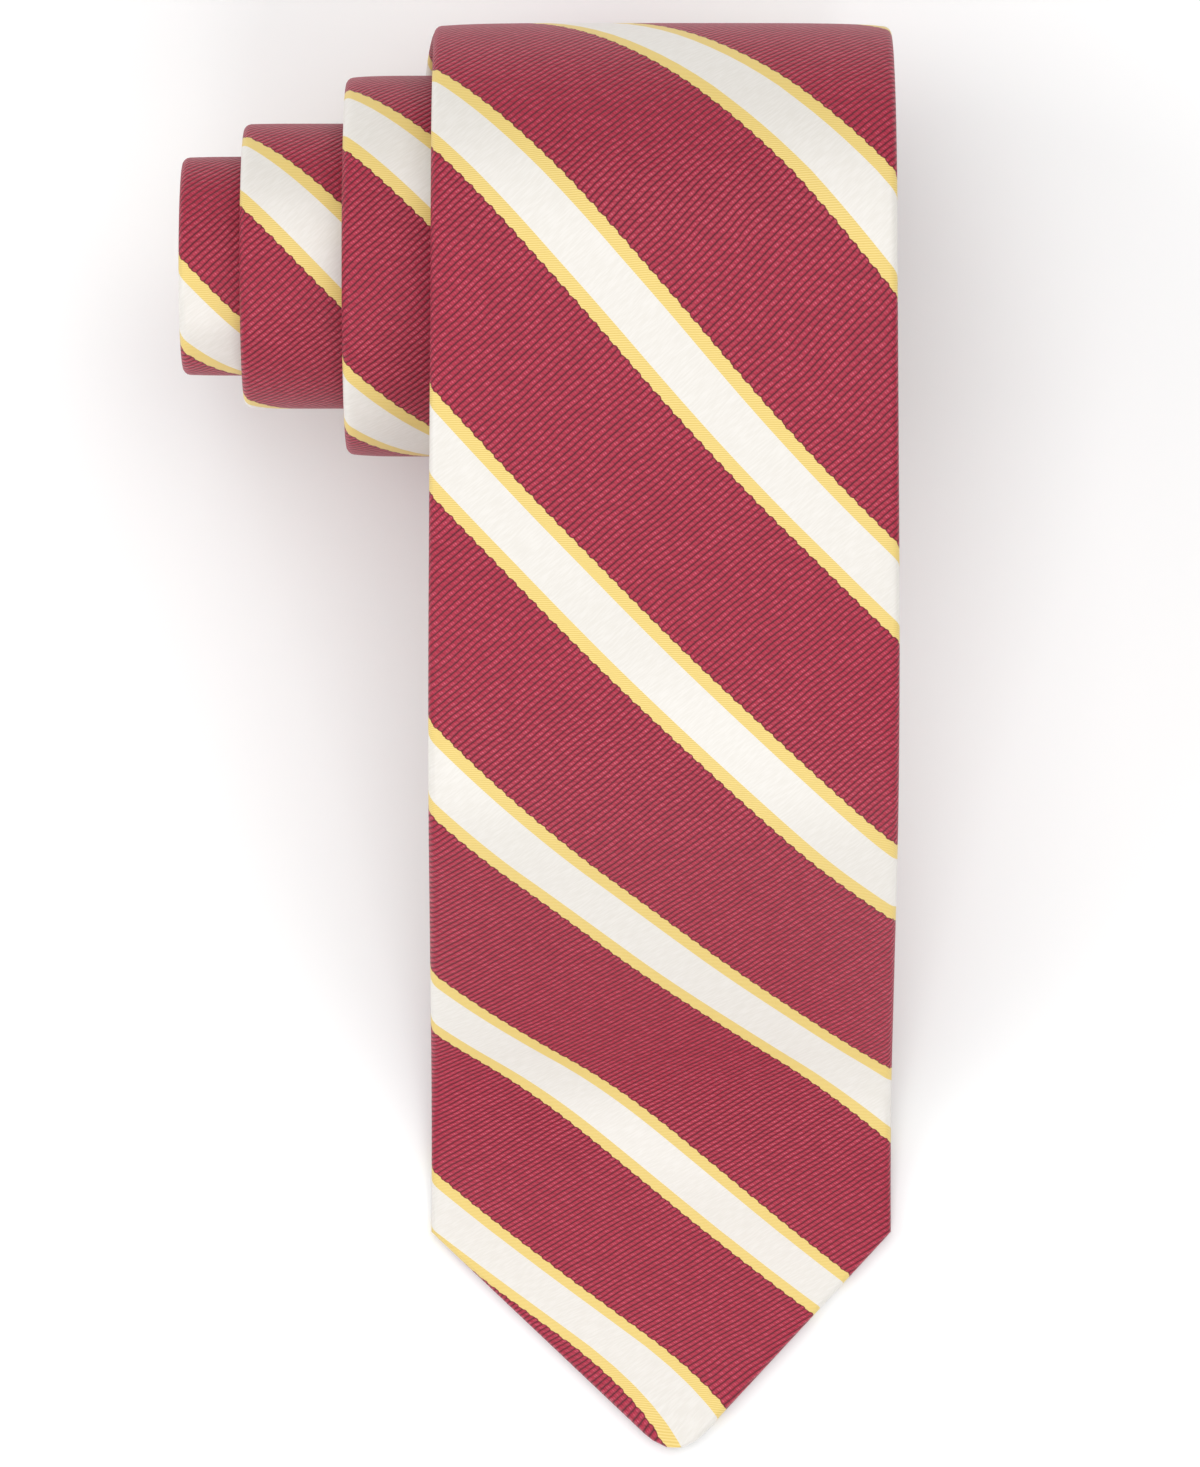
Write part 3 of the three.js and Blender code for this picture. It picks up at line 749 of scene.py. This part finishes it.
# One tree lays a thread at each step of a path, turned about the cloth's normal
def stitchTree():
    tree = bpy.data.node_groups.new("stitchRow", "GeometryNodeTree")
    face = tree.interface
    face.new_socket("Geometry", in_out="INPUT", socket_type="NodeSocketGeometry")
    for socketName, value in (("Spacing", 0.002), ("Stitch Length", 0.002), ("Thread Radius", 0.0002),
                              ("Tilt", 0.0)):
        socket = face.new_socket(socketName, in_out="INPUT", socket_type="NodeSocketFloat")
        socket.default_value = value
    face.new_socket("Thread", in_out="INPUT", socket_type="NodeSocketMaterial")
    face.new_socket("Geometry", in_out="OUTPUT", socket_type="NodeSocketGeometry")
    new, link = tree.nodes.new, tree.links.new
    given, out = new("NodeGroupInput"), new("NodeGroupOutput")
    toCurve, resample = new("GeometryNodeMeshToCurve"), new("GeometryNodeResampleCurve")
    resample.mode = "LENGTH"
    tangent = new("GeometryNodeInputTangent")
    normal = new("GeometryNodeInputNamedAttribute")
    normal.data_type = "FLOAT_VECTOR"
    normal.inputs["Name"].default_value = "clothNormal"
    faceOut, faceAlong = new("FunctionNodeAlignRotationToVector"), new("FunctionNodeAlignRotationToVector")
    faceOut.axis, faceAlong.axis, faceAlong.pivot_axis = "Z", "X", "Z"
    euler, turn = new("FunctionNodeEulerToRotation"), new("FunctionNodeRotateRotation")
    tilt, scale = new("ShaderNodeCombineXYZ"), new("ShaderNodeCombineXYZ")
    half = new("ShaderNodeMath")
    half.operation, half.inputs[1].default_value = "MULTIPLY", 0.5
    ball = new("GeometryNodeMeshUVSphere")
    ball.inputs["Segments"].default_value = threadShape["segments"]
    ball.inputs["Rings"].default_value = threadShape["rings"]
    lay, real = new("GeometryNodeInstanceOnPoints"), new("GeometryNodeRealizeInstances")
    paint, shade = new("GeometryNodeSetMaterial"), new("GeometryNodeSetShadeSmooth")
    turn.rotation_space = "LOCAL"
    link(given.outputs["Geometry"], toCurve.inputs[0])
    link(toCurve.outputs[0], resample.inputs["Curve"])
    link(given.outputs["Spacing"], resample.inputs["Length"])
    link(normal.outputs[0], faceOut.inputs["Vector"])
    link(faceOut.outputs[0], faceAlong.inputs["Rotation"])
    link(tangent.outputs[0], faceAlong.inputs["Vector"])
    link(given.outputs["Tilt"], tilt.inputs[2])
    link(tilt.outputs[0], euler.inputs[0])
    link(faceAlong.outputs[0], turn.inputs["Rotation"])
    link(euler.outputs[0], turn.inputs["Rotate By"])
    link(given.outputs["Stitch Length"], half.inputs[0])
    link(half.outputs[0], scale.inputs[0])
    link(given.outputs["Thread Radius"], scale.inputs[1])
    link(given.outputs["Thread Radius"], scale.inputs[2])
    link(resample.outputs[0], lay.inputs["Points"])
    link(ball.outputs[0], lay.inputs["Instance"])
    link(turn.outputs[0], lay.inputs["Rotation"])
    link(scale.outputs[0], lay.inputs["Scale"])
    link(lay.outputs[0], real.inputs[0])
    link(real.outputs[0], shade.inputs[0])
    link(shade.outputs[0], paint.inputs[0])
    link(given.outputs["Thread"], paint.inputs["Material"])
    link(paint.outputs[0], out.inputs[0])
    return tree


stitchRow = stitchTree()


def layStitches(name, rows, spacing, length, radius, tilt):
    points, normals, edges = [], [], []
    for row in rows:
        start = len(points)
        points += [tuple(np.asarray(p) * mm) for p, n in row]
        normals += [tuple(n) for p, n in row]
        edges += [(start + i, start + i + 1) for i in range(len(row) - 1)]
    me = bpy.data.meshes.new(name + "Path")
    me.from_pydata(points, edges, [])
    attribute = me.attributes.new("clothNormal", "FLOAT_VECTOR", "POINT")
    attribute.data.foreach_set("vector", np.array(normals, np.float32).ravel())
    ob = bpy.data.objects.new(name + "Path", me)
    bpy.context.scene.collection.objects.link(ob)
    mod = ob.modifiers.new("stitches", "NODES")
    mod.node_group = stitchRow
    values = {"Spacing": spacing * mm, "Stitch Length": length * mm, "Thread Radius": radius * mm,
              "Tilt": math.radians(tilt), "Thread": sewingThread}
    for item in stitchRow.interface.items_tree:
        if item.in_out == "INPUT" and item.name in values:
            mod[item.identifier] = values[item.name]
    bpy.context.view_layer.update()
    evaluated = ob.evaluated_get(bpy.context.evaluated_depsgraph_get())
    laid = bpy.data.meshes.new_from_object(evaluated)
    laid.name = name
    bpy.data.objects.remove(ob)
    bpy.data.meshes.remove(me)
    piece = bpy.data.objects.new(name, laid)
    bpy.context.scene.collection.objects.link(piece)
    return piece


def rowAlong(start, end, across=0.0, standOff=0.0, step=1.5):
    count = max(int(abs(end - start) / step), 2)
    spots = []
    for along in np.linspace(start, end, count):
        side = across(along) if callable(across) else across
        point, way, out = backSpot(along, side, standOff)
        spots.append((point, out))
    return spots


def rowAcross(along, halfWidth, standOff=0.0, count=12):
    spots = [backSpot(along, x, standOff) for x in np.linspace(-halfWidth, halfWidth, count)]
    return [(point, out) for point, way, out in spots]


def stitchPiece(name, rows, body, spacing, length, radius, tilt, nodes=()):
    piece = layStitches(name, rows, spacing, length, radius, tilt)
    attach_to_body(piece, body)
    if nodes:
        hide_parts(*nodes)


def turnAlong(turn):
    return float(stations["along"][indexAtTurn(turn)])


slip = dict(spacing=4.2, length=3.0, radius=0.17, tilt=38)
slipRun = {"afterTipping": 4, "beforeCrest": 20}
tippingEnd = back["bladeTipping"]
bladeSlipRow = rowAlong(tippingEnd + slipRun["afterTipping"], crestAlong - slipRun["beforeCrest"])
stitchPiece("bladeSlipStitch", [bladeSlipRow], "blade", nodes=["blade_slip_stitch"], **slip)
slipTurns = [  # body, word and node, first and last turn
    ("outer_roll", "outer", "outer_turn_slip_stitch", 0.27, 1.23),
    ("middle_roll", "middle", "middle_turn_slip_stitch", 1.77, 3.23),
    ("inner_roll", "inner", "inner_turn_slip_stitch", 3.77, 5.23),
    ("tail_roll", "tail", "tail_slip_stitch", 5.77, 7.1),
]
for body, word, node, start, end in slipTurns:
    stitchPiece(word + "SlipStitch", [rowAlong(turnAlong(start), turnAlong(end))], body,
                nodes=[node], **slip)

bar = dict(spacing=0.42, radius=0.2, tilt=90)
barRow = {"half": 4.5, "fromTipping": 1}
stitchPiece("bladeBarTack", [rowAcross(tippingEnd + barRow["fromTipping"], barRow["half"], 0.12)],
            "blade", length=2.2, nodes=["blade_bar_tack"], **bar)
tailBarAlong = tieLength - back["tailTipping"] - barRow["fromTipping"]
stitchPiece("tailBarTack", [rowAcross(tailBarAlong, barRow["half"], 0.05)],
            "tail_roll", length=2.0, nodes=["tail_bar_tack"], **bar)
keeperAlong = crestAlong - keeper["fromCrest"]
labelEnds = {"inset": 1.4, "half": 7, "standOff": 0.82}
for side, word in ((-1, "left"), (1, "right")):
    foot = side * (keeper["span"] + keeper["foot"]) / 2
    keeperRow = rowAlong(keeperAlong - barRow["half"], keeperAlong + barRow["half"], foot, 1.02)
    stitchPiece("keeperTack" + word.title(), [keeperRow], "blade", length=2.4,
                nodes=["keeper_tack_" + word], **bar)
    edge = side * (makerLabel["across"] / 2 - labelEnds["inset"])
    labelRow = rowAlong(makerLabel["fromPoint"] - labelEnds["half"],
                        makerLabel["fromPoint"] + labelEnds["half"], edge, labelEnds["standOff"])
    stitchPiece("labelStitch" + word.title(), [labelRow], "blade", spacing=0.8, length=1.5,
                radius=0.13, tilt=55, nodes=["label_stitch_" + word])
careTack = {"fromPoint": 139.4, "half": 8, "standOff": 0.25}
stitchPiece("careTack", [rowAcross(careTack["fromPoint"], careTack["half"], careTack["standOff"])],
            "blade", spacing=1.5, length=1.25, radius=0.16, tilt=0, nodes=["care_label_tack"])


hemStitch = {"inset": 0.6, "fromPoint": 24, "beforeEnd": 6, "standOff": 0.02}


def marginEdge(side):  # where the folded margin ends over the tipping
    def across(along):
        i = indexAtAlong(along)
        return side * (float(openingAt(slices(i, i))[0]) + hemStitch["inset"])
    return across


hemRows = [rowAlong(hemStitch["fromPoint"], tippingEnd - hemStitch["beforeEnd"], marginEdge(side),
                    hemStitch["standOff"]) for side in (-1, 1)]
stitchPiece("tippingStitch", hemRows, "blade", spacing=3.1, length=1.1, radius=0.11, tilt=50)
print("stitches ready")

# Floor, light and camera
stage = {"worldLight": 0.42, "floorHalf": 3.0, "floorDrop": 0.0004, "floorColor": (0.93, 0.93, 0.93, 1)}
world = bpy.data.worlds.new("studio")
bpy.context.scene.world = world
world.use_nodes = True
world.node_tree.nodes["Background"].inputs[0].default_value = (1, 1, 1, 1)
world.node_tree.nodes["Background"].inputs[1].default_value = stage["worldLight"]

floorMesh = bpy.data.meshes.new("floor")
floorCorners = [(x * stage["floorHalf"], y * stage["floorHalf"], 0)
                for x, y in ((-1, -1), (1, -1), (1, 1), (-1, 1))]
floorMesh.from_pydata(floorCorners, [], [(0, 1, 2, 3)])
floor = bpy.data.objects.new("floor", floorMesh)
bpy.context.scene.collection.objects.link(floor)
floorMat, floorBsdf = newMaterial("paleFloor", 0.9, specular=0.1)
floorBsdf.inputs["Base Color"].default_value = stage["floorColor"]
floorMesh.materials.append(floorMat)
floor.location.z = -stage["floorDrop"]


def areaLight(name, spot, aim, size, power):
    data = bpy.data.lights.new(name, "AREA")
    data.shape = "SQUARE"
    data.size = size
    data.energy = power
    light = bpy.data.objects.new(name, data)
    light.location = spot
    light.rotation_euler = (Vector(aim) - Vector(spot)).to_track_quat("-Z", "Y").to_euler()
    bpy.context.scene.collection.objects.link(light)


lights = {  # place, aim, size in metres and power in watts
    "topSoft": ((0.1, 0.5, 1.1), (0.02, 0.0, 0.03), 1.2, 7.5),
    "frontSoft": ((0.0, -0.95, 0.75), (0.0, 0.0, 0.03), 0.9, 6),
    "leftSoft": ((-0.9, 0.1, 0.7), (0.0, 0.0, 0.03), 0.8, 4),
    "rightSoft": ((0.9, -0.3, 0.8), (0.0, 0.0, 0.03), 0.8, 2),
}
for name, (spot, aim, size, power) in lights.items():
    areaLight(name, spot, aim, size, power)

cameraSpot = {"x": 0.0105, "y": 0.0022, "height": 1.696, "lens": 231.6, "sensor": 36, "clipStart": 0.05}
cameraData = bpy.data.cameras.new("camera")
cameraData.lens = cameraSpot["lens"]
cameraData.sensor_width = cameraSpot["sensor"]
cameraData.clip_start = cameraSpot["clipStart"]
camera = bpy.data.objects.new("camera", cameraData)
camera.location = (cameraSpot["x"], cameraSpot["y"], cameraSpot["height"])
bpy.context.scene.collection.objects.link(camera)
bpy.context.scene.camera = camera
bpy.context.scene.view_settings.view_transform = "Standard"
